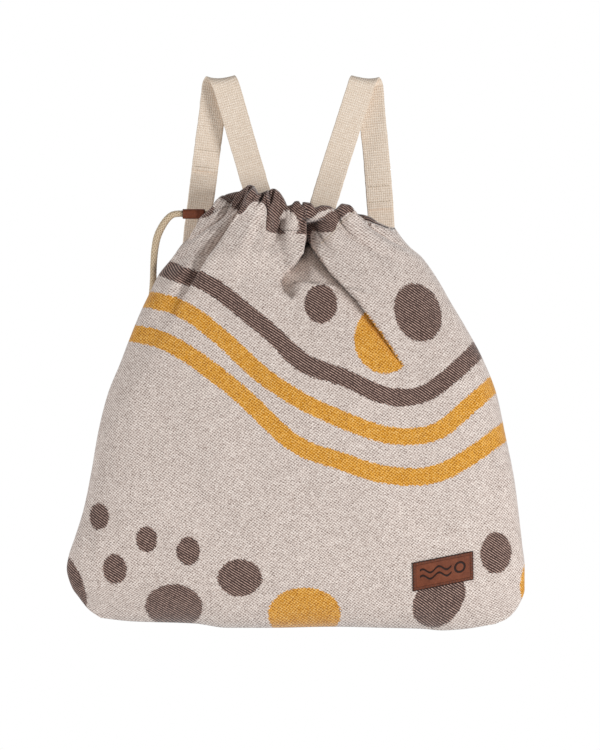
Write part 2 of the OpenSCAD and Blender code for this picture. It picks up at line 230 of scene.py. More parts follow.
class Look:
    """A material and short ways to add nodes to it."""

    def __init__(self, name, roughness, sheen=0.0, specular=0.5):
        self.material = bpy.data.materials.new(name)
        self.material.use_nodes = True
        self.tree = self.material.node_tree
        self.shader = self.tree.nodes["Principled BSDF"]
        self.shader.inputs["Roughness"].default_value = roughness
        self.shader.inputs["Sheen Weight"].default_value = sheen
        self.shader.inputs["Sheen Roughness"].default_value = 0.5
        self.shader.inputs["Specular IOR Level"].default_value = specular

    def put(self, socket, value):
        if hasattr(value, "is_output"):
            self.tree.links.new(value, socket)
        elif isinstance(value, (tuple, list)) and len(value) == 3 and socket.type == "RGBA":
            socket.default_value = (*value, 1)
        else:
            socket.default_value = value

    def node(self, kind, output=0, settings=None, **inputs):
        """Adds a node. Inputs are named as on the node, or i0, i1 and so on by their place."""
        node = self.tree.nodes.new(kind)
        for key, value in (settings or {}).items():
            setattr(node, key, value)
        for key, value in inputs.items():
            socket = node.inputs[int(key[1:])] if key[1:].isdigit() else node.inputs[key]
            self.put(socket, value)
        return node.outputs[output]

    def math(self, operation, a, b=0.0, c=0.0):
        return self.node("ShaderNodeMath", settings={"operation": operation}, i0=a, i1=b, i2=c)

    def plus(self, a, b):
        return self.math("ADD", a, b)

    def times(self, a, b):
        return self.math("MULTIPLY", a, b)

    def mix(self, share, a, b):
        node = self.tree.nodes.new("ShaderNodeMix")
        node.data_type = "RGBA"
        self.put(node.inputs["Factor"], share)
        for socket, value in ((node.inputs[6], a), (node.inputs[7], b)):
            self.put(socket, value)
        return node.outputs[2]

    def uv(self):
        node = self.tree.nodes.new("ShaderNodeUVMap")
        node.uv_map = "cloth"
        return node.outputs[0]

    def attribute(self, name):
        node = self.tree.nodes.new("ShaderNodeAttribute")
        node.attribute_name = name
        return node.outputs["Fac"]

    def split(self, vector):
        node = self.tree.nodes.new("ShaderNodeSeparateXYZ")
        self.tree.links.new(vector, node.inputs[0])
        return node.outputs[0], node.outputs[1]

    def noise(self, vector, scale, detail=2.0, roughness=0.5):
        return self.node("ShaderNodeTexNoise", Vector=vector, Scale=scale, Detail=detail, Roughness=roughness)

    def scaled(self, vector, x, y):
        node = self.tree.nodes.new("ShaderNodeMapping")
        self.tree.links.new(vector, node.inputs[0])
        node.inputs["Scale"].default_value = (x, y, 1)
        return node.outputs[0]

    def range(self, value, low, high, to_low=0.0, to_high=1.0):
        node = self.tree.nodes.new("ShaderNodeMapRange")
        for socket, v in zip(node.inputs, (value, low, high, to_low, to_high)):
            self.put(socket, v)
        return node.outputs[0]

    def wave(self, x, y, angle, period):
        """Ribs across the cloth: from 0 to 1 and back over each period, in the cloth's millimetres."""
        a = math.radians(angle)
        per_mm = 2 * math.pi / period
        turn = self.plus(self.times(x, math.cos(a) * per_mm), self.times(y, math.sin(a) * per_mm))
        return self.math("MULTIPLY_ADD", self.math("SINE", turn), 0.5, 0.5)

    def finish(self, colour, height=None, distance=0.3, strength=1.0):
        self.put(self.shader.inputs["Base Color"], colour)
        if height is not None:
            normal = self.node("ShaderNodeBump", Strength=strength, Distance=distance * MM, Height=height)
            self.put(self.shader.inputs["Normal"], normal)
        return self.material


def srgb(r, g, b):
    """Linear colour of an sRGB one given from 0 to 255."""
    return tuple((v / 255 / 12.92) if v <= 10 else ((v / 255 + 0.055) / 1.055) ** 2.4 for v in (r, g, b))


def cells(look, uv, width, height):
    """A random number for each cell of the cloth."""
    size = (width, height, 1.0)
    cell = look.node("ShaderNodeVectorMath", settings={"operation": "SNAP"}, i0=uv, i1=size)
    return look.node("ShaderNodeTexWhiteNoise", settings={"noise_dimensions": "2D"}, Vector=cell)


def woven(look, uv, fine_size):
    """Random tone of single threads: a cell for each, with slubs along the weft and the warp."""
    a = cells(look, uv, fine_size, fine_size * 0.8)
    b = cells(look, uv, fine_size * 5, fine_size * 0.8)
    c = cells(look, uv, fine_size, fine_size * 6)
    total = look.plus(look.times(a, 0.7), look.times(b, 0.16))
    return look.plus(total, look.times(c, 0.14))


def patterned_twill():
    """Woven pattern: greige, brown and yellow areas, told apart by signed distances kept on the mesh."""
    look = Look("patterned_twill", 0.9, sheen=0.4, specular=0.15)
    uv = look.uv()
    x, y = look.split(uv)
    wander = look.noise(uv, 0.04, 1.0)
    x = look.plus(x, look.times(wander, 4.0))
    rib = look.wave(x, y, 57, 2.1)
    cross = look.wave(x, y, 138, 2.3)
    thread = woven(look, uv, 0.8)
    fine = look.noise(uv, 1.3, 3.0, 0.75)
    slow = look.noise(look.scaled(uv, 1.0, 0.7), 0.02, 3.0, 0.5)
    twill = look.plus(look.times(rib, 0.25), look.times(cross, 0.2))
    tone = look.plus(look.times(thread, 0.42), twill)
    tone = look.plus(tone, look.times(fine, 0.25))
    greige = look.mix(look.range(tone, 0.25, 0.53), srgb(114, 94, 85), srgb(209, 193, 184))
    greige = look.mix(look.range(tone, 0.53, 0.88), greige, srgb(255, 246, 238))
    line = look.range(look.plus(rib, look.times(fine, 0.4)), 0.7, 1.2)
    pale = look.times(line, look.range(thread, 0.15, 0.7, 0.25, 1.0))
    brown = look.mix(pale, srgb(54, 35, 32), srgb(214, 180, 165))
    gold = look.mix(look.range(tone, 0.3, 0.58), srgb(150, 86, 10), srgb(224, 156, 40))
    gold = look.mix(look.range(tone, 0.58, 0.85), gold, srgb(246, 202, 126))
    ragged = look.math("MULTIPLY_ADD", cells(look, uv, 1.3, 1.0), 1.7, -0.85)
    is_brown = look.range(look.plus(look.attribute("brown"), ragged), -0.25, 0.25, 1, 0)
    is_gold = look.range(look.plus(look.attribute("gold"), ragged), -0.25, 0.25, 1, 0)
    colour = look.mix(is_gold, look.mix(is_brown, greige, brown), gold)
    shade = look.range(slow, 0.3, 0.7, 0.96, 1.03)
    tint = look.node("ShaderNodeCombineXYZ", X=shade, Y=shade, Z=shade)
    colour = look.node("ShaderNodeVectorMath", settings={"operation": "MULTIPLY"}, i0=colour, i1=tint)
    height = look.plus(look.times(rib, 0.6), look.times(thread, 0.8))
    return look.finish(colour, height, 0.2)


def plain_webbing():
    """Cream cotton webbing: cross ribs, lengthwise warp cords and closed selvedges."""
    look = Look("cotton_webbing", 0.85, sheen=0.15, specular=0.2)
    uv = look.uv()
    x, y = look.split(uv)
    rib = look.wave(x, y, 90, 2.3)
    warp = look.wave(x, y, 0, 2.0)
    thread = woven(look, uv, 0.9)
    fine = look.noise(look.scaled(uv, 0.8, 1.6), 0.9, 3.0, 0.7)
    slow = look.noise(uv, 0.04, 2.0)
    grid = look.plus(look.times(rib, 0.55), look.times(warp, 0.45))
    tone = look.plus(look.times(grid, 0.4), look.times(thread, 0.35))
    tone = look.plus(tone, look.times(fine, 0.35))
    colour = look.mix(look.range(tone, 0.3, 0.85), srgb(218, 196, 174), srgb(254, 242, 227))
    edge = look.range(look.math("ABSOLUTE", x), 10.4, 12.2, 0, 0.3)
    colour = look.mix(edge, colour, srgb(228, 210, 190))
    colour = look.mix(look.range(slow, 0.35, 0.7, 0, 0.2), colour, srgb(232, 212, 190))
    return look.finish(colour, grid, 0.3)


def brown_tape():
    look = Look("brown_tape", 0.9, sheen=0.15, specular=0.2)
    uv = look.uv()
    x, y = look.split(uv)
    rib = look.wave(x, y, 55, 1.6)
    fine = look.noise(uv, 0.9, 3.0, 0.7)
    tone = look.times(rib, look.range(fine, 0.3, 0.7))
    return look.finish(look.mix(tone, srgb(70, 54, 48), srgb(140, 118, 104)), tone, 0.25)


def cotton_cord():
    look = Look("cotton_cord", 0.85, sheen=0.2, specular=0.25)
    uv = look.uv()
    x, y = look.split(uv)
    one = look.wave(x, y, 38, 2.2)
    two = look.wave(x, y, -38, 2.2)
    braid = look.math("MAXIMUM", one, two)
    fine = look.noise(uv, 1.1, 3.0, 0.7)
    tone = look.plus(look.times(braid, 0.6), look.times(fine, 0.5))
    colour = look.mix(look.range(tone, 0.35, 0.95), srgb(158, 132, 100), srgb(226, 208, 180))
    return look.finish(colour, tone, 0.35)


def sewing_thread(name, dark, light):
    look = Look(name, 0.7, sheen=0.2)
    uv = look.uv()
    x, y = look.split(uv)
    ply = look.wave(x, y, 40, 0.55)
    colour = look.mix(ply, dark, light)
    return look.finish(colour, ply, 0.08)


def brown_leather():
    """Smooth brown leather with fine grain, worn lighter in patches and dark at its painted edges."""
    look = Look("brown_leather", 0.55, specular=0.25)
    uv = look.uv()
    grain = look.node("ShaderNodeTexVoronoi", settings={"feature": "DISTANCE_TO_EDGE"}, Vector=uv, Scale=1.1)
    fine = look.noise(uv, 0.9, 4.0, 0.65)
    slow = look.noise(uv, 0.09, 3.0, 0.6)
    colour = look.mix(look.range(slow, 0.35, 0.68), srgb(104, 52, 32), srgb(126, 68, 44))
    colour = look.mix(look.range(fine, 0.5, 0.75, 0, 0.4), colour, srgb(156, 98, 68))
    edge = look.attribute("edge")
    colour = look.mix(look.range(edge, 0.15, 0.85), colour, srgb(36, 16, 11))
    rough = look.range(fine, 0.3, 0.7, 0.42, 0.62)
    look.put(look.shader.inputs["Roughness"], rough)
    height = look.plus(look.range(grain, 0.0, 0.25), look.times(fine, 0.5))
    return look.finish(colour, height, 0.12, 0.7)


TWILL = patterned_twill()
WEBBING = plain_webbing()
CORD = cotton_cord()
TAPE = brown_tape()
CREAM_THREAD = sewing_thread("cream_thread", srgb(190, 170, 145), srgb(238, 226, 205))
BROWN_THREAD = sewing_thread("brown_thread", srgb(58, 42, 36), srgb(110, 88, 76))
DARK_THREAD = sewing_thread("dark_thread", srgb(34, 20, 15), srgb(66, 42, 32))
LEATHER = brown_leather()


# ---------------------------------------------------------------- camera, light and stage

def stage():
    scene = bpy.context.scene
    camera = bpy.data.objects.new("camera", bpy.data.cameras.new("camera"))
    bpy.context.collection.objects.link(camera)
    camera.location = (0.0033, -6.0, -0.2734)
    camera.rotation_euler = (math.radians(90), 0, 0)
    camera.data.lens = 304.3
    scene.camera = camera
    scene.view_settings.view_transform = "Standard"
    world = bpy.data.worlds.new("studio")
    scene.world = world
    world.use_nodes = True
    tree = world.node_tree
    background = tree.nodes["Background"]
    background.inputs["Color"].default_value = (1, 1, 1, 1)
    path = tree.nodes.new("ShaderNodeLightPath")
    strength = tree.nodes.new("ShaderNodeMapRange")
    strength.inputs["To Min"].default_value = 0.32
    strength.inputs["To Max"].default_value = 1.0
    tree.links.new(path.outputs["Is Camera Ray"], strength.inputs["Value"])
    tree.links.new(strength.outputs[0], background.inputs["Strength"])

    def area(name, place, target, size, power):
        light = bpy.data.objects.new(name, bpy.data.lights.new(name, "AREA"))
        bpy.context.collection.objects.link(light)
        light.data.shape = "RECTANGLE"
        light.data.size, light.data.size_y = size
        light.data.energy = power
        light.location = place
        light.rotation_euler = (Vector(target) - Vector(place)).to_track_quat("-Z", "Y").to_euler()

    middle = (0, -0.04, -0.3)
    area("key", (1.75, -1.65, -0.5), middle, (0.7, 0.8), 39)
    area("left", (-2.1, -0.9, -0.4), middle, (0.8, 1.2), 23)
    area("back", (0.4, 1.8, 0.8), middle, (1.4, 1.0), 16)

    floor_look = Look("pale_floor", 0.85)
    grain = floor_look.noise(floor_look.node("ShaderNodeTexCoord", 3), 6.0)
    tone = floor_look.range(grain, 0.3, 0.7)
    floor_look.finish(floor_look.mix(tone, (0.80, 0.80, 0.80), (0.84, 0.84, 0.84)))
    radius, level, sides = 1500, -760, 96
    turn = np.linspace(0, 2 * math.pi, sides + 1)[:-1]
    ring = [(radius * math.cos(a), radius * math.sin(a), level) for a in turn]
    floor = mesh_piece("floor", ring, [range(sides)], floor_look.material)


stage()


# ---------------------------------------------------------------- drawcord

CORD_D = 6.0
# height of the cord at the mouth; how far the slider's channels lie from the bag's middle plane; their radius
MOUTH_Z = -122.0
CHANNEL_OFF = 4.5
CHANNEL_R = 3.5
# the free loop, from the front strand's exit to the back strand's
CORD_ROUTE = [
    [-84, -44.5, -122], [-98, -44.5, -122], [-113.5, -44.5, -122], [-120.5, -44.4, -125.5],
    [-127, -44, -134], [-131.5, -43, -144], [-133.6, -41.5, -156], [-134.5, -39, -169], [-135, -34, -182],
    [-136.2, -25.5, -196], [-138.6, -18, -211], [-141.8, -13, -226], [-144.4, -10.5, -242],
    [-147, -8.3, -259], [-149, -5.5, -276], [-151, -3.5, -293], [-153, -3, -310], [-154.5, -2.5, -326],
    [-151, -1, -335], [-142, 1.5, -338.5], [-133, 4, -335], [-129.5, 4.5, -326], [-129.5, 4, -310],
    [-130, 3, -293], [-130.5, 1, -276], [-131, -1.5, -259], [-131.3, -4.5, -242], [-132, -7.5, -226],
    [-133.2, -11.5, -211], [-134.3, -17.5, -196], [-134.8, -25, -182], [-134.3, -31, -169],
    [-133, -33.5, -156], [-130.5, -35, -144], [-126, -35.4, -134], [-120, -35.5, -125.5],
    [-113.5, -35.5, -122], [-98, -35.5, -122], [-84, -35.5, -122],
]
# half of the way round inside the casings, as X and the distance from the bag's middle plane
MOUTH = [
    [78, 0], [76, -12], [68, -21], [50, -27], [25, -29], [0, -29],
    [-25, -29], [-50, -24], [-68, -13], [-77, -6.5], [-84, -4.5],
]


def tube(name, points, diameter, across, sides=20):
    """Round cord with its plaited strands standing slightly proud. Returns the piece, path and length."""
    path, length = even_path(points, 0.8)
    way = unit(np.gradient(path, axis=0))
    e1 = unit(np.cross(way, np.array(across, float)))
    e2 = np.cross(way, e1)
    at = np.linspace(0, length, len(path))
    angle = np.linspace(0, 2 * math.pi, sides, endpoint=False)
    a, s = np.meshgrid(angle, at)
    plait = np.maximum(np.sin(4 * a + s * 1.0), np.sin(4 * a - s * 1.0))
    radius = diameter / 2 - 0.22 + 0.22 * plait
    spoke = np.cos(a)[..., None] * e1[:, None] + np.sin(a)[..., None] * e2[:, None]
    ring = path[:, None] + radius[..., None] * spoke
    faces = capped_faces(len(path), sides)
    uv = np.stack([a * diameter / 2, s], -1).reshape(-1, 2)
    piece = mesh_piece(name, ring.reshape(-1, 3), faces, CORD, uv)
    outward(piece)
    return piece, path, length


loop, loop_path, loop_length = tube("drawcord_free_loop", CORD_ROUTE, CORD_D, (0, 1, 0))
settle(loop, "bag", "drawcord_loop")

# inside the casing the cord lies a little closer to the middle, and droops with the casing at its right end
droop = [(-90, 0), (44, 0), (58, 6), (70, 13), (80, 18)]
closer = [(-90, 1), (-60, 0.95), (0, 0.93), (30, 0.9), (60, 0.78), (80, 0.75)]
held_half = [(min(x, 75), y * curve(closer, x), MOUTH_Z - curve(droop, x)) for x, y in MOUTH]
held_route = [[x, BAG_Y + y, z] for x, y, z in held_half[::-1]]
held_route += [[x, BAG_Y - y, z] for x, y, z in held_half[1:]]
held, _, _ = tube("drawcord_held", held_route, CORD_D, (0, 0, 1))
settle(held, "bag", "drawcord_in_casing")


# ---------------------------------------------------------------- leather slider

def channel_cutter(x0, x1, y, z, radius):
    """Round rod along X that cuts a channel."""
    angle = np.linspace(0, 2 * math.pi, 48, endpoint=False)
    ring = np.stack([0 * angle, y + radius * np.cos(angle), z + radius * np.sin(angle)], 1)
    points = np.concatenate([ring + (x0, 0, 0), ring + (x1, 0, 0)])
    faces = capped_faces(2, 48)
    cutter = mesh_piece("channel_cutter", points, faces, LEATHER)
    outward(cutter)
    return cutter


def leather_slider(low, high):
    """Pressed leather sleeve with two channels, pinched along its stitching and dark at its cut ends."""
    centre, half = (low + high) / 2, (high - low) / 2
    corner, n = 3.4, 96
    quarters = [np.linspace(0, math.pi / 2, 9) + k * math.pi / 2 for k in range(4)]
    turn = np.concatenate(quarters + [[2 * math.pi]])
    way = [(1, 1), (-1, 1), (-1, -1), (1, -1)]
    sign = np.array([way[min(k // 9, 3)] for k in range(36)] + [way[0]], float)
    outline = sign * (half[1:] - corner) + corner * np.stack([np.cos(turn), np.sin(turn)], 1)
    length = np.r_[0, np.cumsum(np.linalg.norm(np.diff(outline, axis=0), axis=1))]
    even = np.linspace(0, length[-1], n, endpoint=False)
    outline = np.stack([np.interp(even, length, outline[:, k]) for k in range(2)], 1)
    rings = []
    for share in (-1, -0.985, -0.95, -0.8, -0.6, -0.4, -0.2, 0, 0.2, 0.4, 0.6, 0.8, 0.95, 0.985, 1):
        x = share * half[0]
        less = 0.5 * max(0, (abs(share) - 0.95) / 0.05) ** 2
        y, z = outline[:, 0], outline[:, 1]
        pinch = 0.5 * bump(y / 1.4) * np.sign(z)
        sag = 0.25 * math.sin(x * 0.9) * np.sign(y) * step(6, 8, np.abs(y))
        scale = 1 - less / half[2]
        rings.append(np.stack([np.full(n, x), (y + sag) * scale, (z - pinch) * scale], 1) + centre)
    faces = capped_faces(len(rings), n)
    block = mesh_piece("slider_block", np.concatenate(rings), faces, LEATHER)
    outward(block)
    for side in (-1, 1):
        cutter = channel_cutter(low[0] - 5, high[0] + 5, BAG_Y + side * CHANNEL_OFF, MOUTH_Z, CHANNEL_R)
        cut = block.modifiers.new("channel", "BOOLEAN")
        cut.object = cutter
        cut.solver = "EXACT"
        apply_modifiers(block)
        bpy.data.objects.remove(cutter)
    points = np.array([v.co for v in block.data.vertices]) / MM
    faces = [list(face.vertices) for face in block.data.polygons]
    bpy.data.objects.remove(block)
    local = points - centre
    edge = step(0.4, 0.05, half[0] - np.abs(local[:, 0]))
    uv = np.stack([local[:, 0], np.arctan2(local[:, 2] * 2, local[:, 1]) * 7], 1)
    return mesh_piece("slider_sleeve", points, faces, LEATHER, uv, {"edge": edge})


# ---------------------------------------------------------------- stitches

def stitch_mesh(name, stitches, radius, material):
    """Thread bars: each stitch is (from, to, off), arched a little off the cloth along off."""
    points, faces, uv = [], [], []
    rings, sides = 5, 6
    for start, end, off in stitches:
        start, end, off = (np.asarray(v, float) for v in (start, end, off))
        way = unit(end - start)
        side = unit(np.cross(way, off))
        up = np.cross(side, way)
        length = np.linalg.norm(end - start)
        base = len(points)
        for k in range(rings):
            f = k / (rings - 1)
            swell = 0.45 + 0.55 * math.sin(math.pi * f) ** 0.5
            mid = start + (end - start) * f + up * (radius * 1.1 * math.sin(math.pi * f) - radius * 0.3)
            for j in range(sides):
                a = 2 * math.pi * j / sides
                points.append(mid + radius * swell * (math.cos(a) * side + math.sin(a) * up))
                uv.append((a * radius, f * length))
        faces += [[base + i for i in face] for face in capped_faces(rings, sides)]
    piece = mesh_piece(name, points, faces, material, uv)
    outward(piece)
    return piece


low, high = (np.array(v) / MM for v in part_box("cord_slider"))
slider = leather_slider(low, high)
settle(slider, "slider", "cord_slider")
seam = []
for face in (-1, 1):
    z = (high[2] - 0.35) if face > 0 else (low[2] + 0.35)
    for k in range(5):
        x0 = low[0] + 2.2 + k * 3.5
        seam.append(((x0, BAG_Y, z), (x0 + 2.5, BAG_Y, z), (0, 0, face)))
slider_thread = stitch_mesh("slider_thread", seam, 0.32, DARK_THREAD)
settle(slider_thread, "slider", "slider_stitching")


# ---------------------------------------------------------------- shape of the bag

# outline of the front by height: left edge, right edge, half depth
LEFT = [(4, -184), (8, -191), (12, -195.5), (20, -200.5), (28, -204.5), (41, -211), (60, -216), (72, -214),
        (90, -208), (116, -200), (150, -193), (190, -186), (225, -177), (252, -166), (273, -158), (300, -147),
        (321, -137), (336, -129.5), (349, -119), (362, -107), (374, -97), (386, -88), (400, -84), (420, -83)]
RIGHT = [(4, 187), (7, 195), (10, 199.5), (16, 205), (26, 210.5), (40, 214.5), (62, 214.5), (80, 212.5),
         (102, 210), (142, 205), (187, 196), (224, 188), (257, 175), (290, 157), (310, 145), (331, 133),
         (352, 118), (364, 104), (374, 93), (384, 85), (400, 82), (420, 81)]
DEPTH = [(4, 1.5), (8, 11), (16, 20), (32, 30), (62, 41), (102, 48), (145, 50.5), (204, 51.5), (254, 50),
         (294, 46.5), (324, 43), (350, 38.5), (368, 34.5), (384, 32), (420, 32)]
POWER = 2 / 2.2

# height at which places round the gathered mouth are told
MOUTH_H = 395.0

# where the panel ends and its casing starts, then the casing's top, by X at the mouth
FRONT_LOW = [(-84, 388), (-72, 392), (-63, 397), (-56, 397), (-52, 393.5), (-48.5, 392), (-45, 394),
             (-41, 400), (-35, 403.5), (-29, 402), (-26, 394), (-24.5, 378), (-12, 374), (4, 374),
             (10, 372), (14, 378), (24, 375.5), (31, 376), (38, 384), (47, 394), (51, 394), (56, 389),
             (62, 385), (72, 380), (82, 374)]
FRONT_TOP = [(-84, 394), (-80, 399), (-76, 406), (-71, 410), (-66, 408), (-62, 405), (-57, 412), (-50, 417),
             (-43, 419.5), (-37, 416.5), (-33.5, 411), (-28, 413.5), (-21.5, 416), (-16, 412.5), (-12, 406),
             (-9, 400), (-5, 401), (-1, 404.5), (2, 404.5), (4.5, 401), (9, 403.5), (14, 402.5),
             (17.5, 398.5), (24, 400.5), (31, 400), (37, 397), (42, 402), (48, 401), (52, 397), (57, 391.5),
             (63, 387), (70, 384), (82, 378)]
BACK_TOP = [(-84, 394), (-77, 404), (-67, 412), (-54, 415), (-40, 411), (-24, 410), (-15, 412), (-6, 398),
            (12, 396), (30, 396), (50, 397), (58, 393.5), (63, 393), (68, 391), (74, 386), (82, 380)]
BACK_LOW = [(-84, 379), (0, 379), (82, 379)]
PANEL_LOW = 4
HEM_LOW = 366
RIM = 4.2

# bottom seam by X
BOTTOM = [(-190, 14), (-154, 10), (-96, 8), (-65, 4), (-27, 4), (37, 5), (78, 4), (118, 3), (137, 1.5),
          (155, 2.5), (190, 8)]

# gathers of the front and back casings: edges, heights and how far they lean by X
EDGES = [-84, -62, -35, -12, 3.5, 17, 38, 57, 84]
PUFFS = [7, 14, 12, 8, 12, 9, 11, 6]
BACK_EDGES = [-84, -66, -47, -24, -6, 9, 26, 44, 60, 84]
BACK_PUFFS = [8, 13, 11, 12, 14, 11, 11, 11, 8]
LEAN = [(-84, 0.75), (-60, 0.7), (-30, 0.4), (-5, 0), (30, -0.2), (80, -0.6)]

# lines of the front's folds, from the mouth down
LAP = [(8, 400), (11, 378), (16, 362), (33, 338), (59, 310), (82, 278), (103, 246)]
LEFT_FOLD = [(-45, 404), (-51.5, 393), (-63, 376), (-85.5, 346), (-95, 332), (-106, 314), (-116, 296)]
TUBE = [(-62, 399), (-74, 381), (-95, 353), (-111, 332), (-122, 312)]
SIDE_FOLD = [(-62, 402), (-66, 390), (-82, 371), (-102, 355), (-126, 340)]
MOUTH_HOLE = [(9.5, 392), (10.5, 372), (13, 362)]
HUMP = [(-33, 410), (-36, 385), (-48, 355), (-70, 318)]
HUMP_EDGE = [(-25, 404), (-24.5, 386), (-24, 374), (-16, 356)]
SCOOP = [(8, 392), (8.5, 370), (6, 356), (-2, 346), (-13, 337), (-17, 329), (-13, 319), (-4, 312)]


def fold_line(line, x, h, depth, left, right, fade):
    """Crease that is as deep as depth at its start, and how wide it opens to its left and right."""
    side, share = along(line, x, h)
    wide = np.where(side < 0, left, right)
    return -depth * (1 - share) ** fade * np.exp(-(np.abs(side) / wide) ** 1.4)


def overlap(line, x, h, up, down, up_width, down_width, fade):
    """Fold whose right side lies over its left: a sharp rise, falling off to both sides."""
    side, share = along(line, x, h)
    fade = (1 - share) ** fade
    high = up * step(-0.7, 1.1, side) * (1 - step(2, up_width, side))
    low = down * np.exp(np.minimum(side, 0) / down_width) * (1 - step(-0.6, 0.4, side))
    return (high - low) * fade


def pocket(x, h):
    """Deep pocket beside the hump: the hump's rim stands over it and its floor rises slowly to the right."""
    side, share = along(SCOOP, x, h)
    fade = (1 - share) ** 0.62
    rim = 6 * np.exp(np.minimum(side, 0) / 12) * (1 - step(-1.0, 0.6, side))
    floor = 46 * step(-0.8, 0.8, side) * np.exp(-np.maximum(side, 0) / 20)
    return (rim - floor) * fade


def front_relief(x, h):
    """Height of the front's folds off the smooth bag, in millimetres."""
    out = overlap(LAP, x, h, 8, 9, 75, 3.5, 0.4)
    side, share = along(LAP, x, h)
    out -= 13 * (1 - share) ** 0.9 * np.exp(np.minimum(side, 0) / 15) * (1 - step(-0.6, 0.4, side))
    out += pocket(x, h)
    out += fold_line(MOUTH_HOLE, x, h, 22, 4, 5, 0.25)
    side, share = along(HUMP, x, h)
    out += 9 * (1 - share) ** 0.7 * bump(side / 20)
    side, share = along(HUMP_EDGE, x, h)
    soft = 2 + 9 * share
    out -= 10 * (1 - share) ** 0.6 * step(-soft, soft, side) * (1 - step(3, 26, side))
    out += overlap(LEFT_FOLD, x, h, 7, 14, 34, 9, 0.85)
    side, share = along(TUBE, x, h)
    out += 6 * (1 - share) ** 0.6 * bump(side / 10)
    out += fold_line(SIDE_FOLD, x, h, 7, 3, 6, 0.6)
    return out


def wrinkles(x, h, seed):
    """Soft unevenness of a lightly filled bag, and faint folds that run down from the mouth."""
    slope = np.arctan2(x, 470 - h)
    down = soft_noise(slope * 900, h * 0.35, 60, seed) * step(120, 330, h) * 2.4
    flat = soft_noise(x, h, 85, seed + 1) * 1.3 + soft_noise(x * 1.6, h, 34, seed + 2) * 0.5
    low = soft_noise(x, h * 2.2, 46, seed + 3) * (1 - step(20, 130, h)) * 1.1
    upright = soft_noise(x, h * 0.1, 8, seed + 5) * step(100, 190, np.abs(x)) * step(10, 70, h) * 0.55
    return down + flat + low + upright


def gathers(x, h, edges, heights):
    """Puffed gathers of a casing with sharp creases between them, fading out down the panel."""
    edges, heights = np.array(edges, float), np.array(heights, float)
    place = x - curve(LEAN, x) * (h - 396)
    k = np.clip(np.searchsorted(edges, place, side="right") - 1, 0, len(heights) - 1)
    t = np.clip((place - edges[k]) / (edges[k + 1] - edges[k]), 0, 1)
    share = step(340, 388, h)
    main = heights[k] * (4 * t * (1 - t)) ** (1.3 - 0.8 * share) - 0.8
    pleats = 1.7 * np.sin(place * 1.05 + 2 * np.sin(place * 0.21)) * step(380, 400, h)
    return (main + pleats) * share


def bag_base(q, h, side):
    """Smooth bag at q, from 0 at the left seam to 1 at the right, and its outward direction in plan."""
    left, right, deep = curve(LEFT, h), curve(RIGHT, h), curve(DEPTH, h)
    middle, half = (left + right) / 2, (right - left) / 2
    c, s = -np.cos(math.pi * q), np.sin(math.pi * q)
    x = middle + half * np.sign(c) * np.abs(c) ** POWER
    y = side * deep * np.abs(s) ** POWER
    normal = unit(np.stack([(x - middle) / half ** 2, y / np.maximum(deep, 1) ** 2, np.zeros(x.shape)], -1))
    return x, y, normal


def mouth_x(q):
    """X at the mouth of the cloth's places q."""
    return bag_base(q, np.full(q.shape, MOUTH_H), -1)[0]


def round_bag(q, h):
    """Distance along the smooth bag from its middle, so that the weave isn't stretched at the sides."""
    x, y, _ = bag_base(q, h, 1)
    steps = np.hypot(np.diff(x, axis=1), np.diff(y, axis=1))
    run = np.concatenate([np.zeros((len(x), 1)), np.cumsum(steps, axis=1)], axis=1)
    centre = x.shape[1] // 2
    return x[:, centre:centre + 1] + run - run[:, centre:centre + 1]


def front_surface(q, x, h):
    """How far the front stands off the smooth bag, and how far its edges curl over what they cover."""
    hump = step(-3, 3, along(LEFT_FOLD, x, h)[0]) * step(-3, 3, -along(HUMP_EDGE, x, h)[0])
    hump = hump * (1 - step(398, 406, h)) * step(330, 360, h)
    puffs = gathers(mouth_x(q), h, EDGES, PUFFS) * (1 - hump) + 7 * hump
    relief = front_relief(x, h) + wrinkles(x, h, 11) + puffs
    lap, share = along(LAP, x, h)
    lip = bump((lap - 2.5) / 3.2) * (1 - share) ** 0.7 * 2.6 * step(0.2, 1.5, lap + 1.5)
    scoop, share = along(SCOOP, x, h)
    return relief, lip - 3.0 * bump((scoop + 2.5) / 4) * (1 - share) ** 0.7


def back_surface(q, x, h):
    """How far the back stands off the smooth bag. It is flat where the straps' ends are sewn on."""
    relief = wrinkles(x, h, 31) + gathers(mouth_x(q), h, BACK_EDGES, BACK_PUFFS)
    up = (h - 363) / 48
    off = np.minimum(np.abs(x + 22 + 14 * up), np.abs(x - 12.3 - 15.3 * up))
    top_ends = (1 - step(14, 19, off)) * step(330, 352, h)
    bottom_ends = np.maximum(bump((x + 119) / 30), bump((x - 102) / 30)) * bump((h - 56) / 40)
    return relief * (1 - np.clip(top_ends + bottom_ends, 0, 1)) - 1.0 * top_ends


def cloth_point(q, h, side, inward=0.0):
    """Point of the front (side -1) or back (side 1) cloth with its folds, moved into the bag by inward."""
    x, y, normal = bag_base(q, h, side)
    inner = step(0, 0.07, q) * step(0, 0.07, 1 - q)
    relief, lip = front_surface(q, x, h) if side < 0 else (back_surface(q, x, h), 0.0)
    inward = np.asarray(inward, float)
    # no fold goes deeper than 50, and at the casing none goes through the cord
    relief = np.maximum(relief, -50 + 50.9 * step(378, 389, h))
    relief = relief * inner * (1 - 0.4 * np.clip(inward / (2 * RIM), 0, 1)) - inward
    sag = (curve(BOTTOM, x) - 4) * (1 - step(0, 45, h - 4))
    point = np.stack([x - lip, BAG_Y + y, h - ROD_H + sag], -1) + normal * relief[..., None]
    return point, x


# ---------------------------------------------------------------- woven pattern

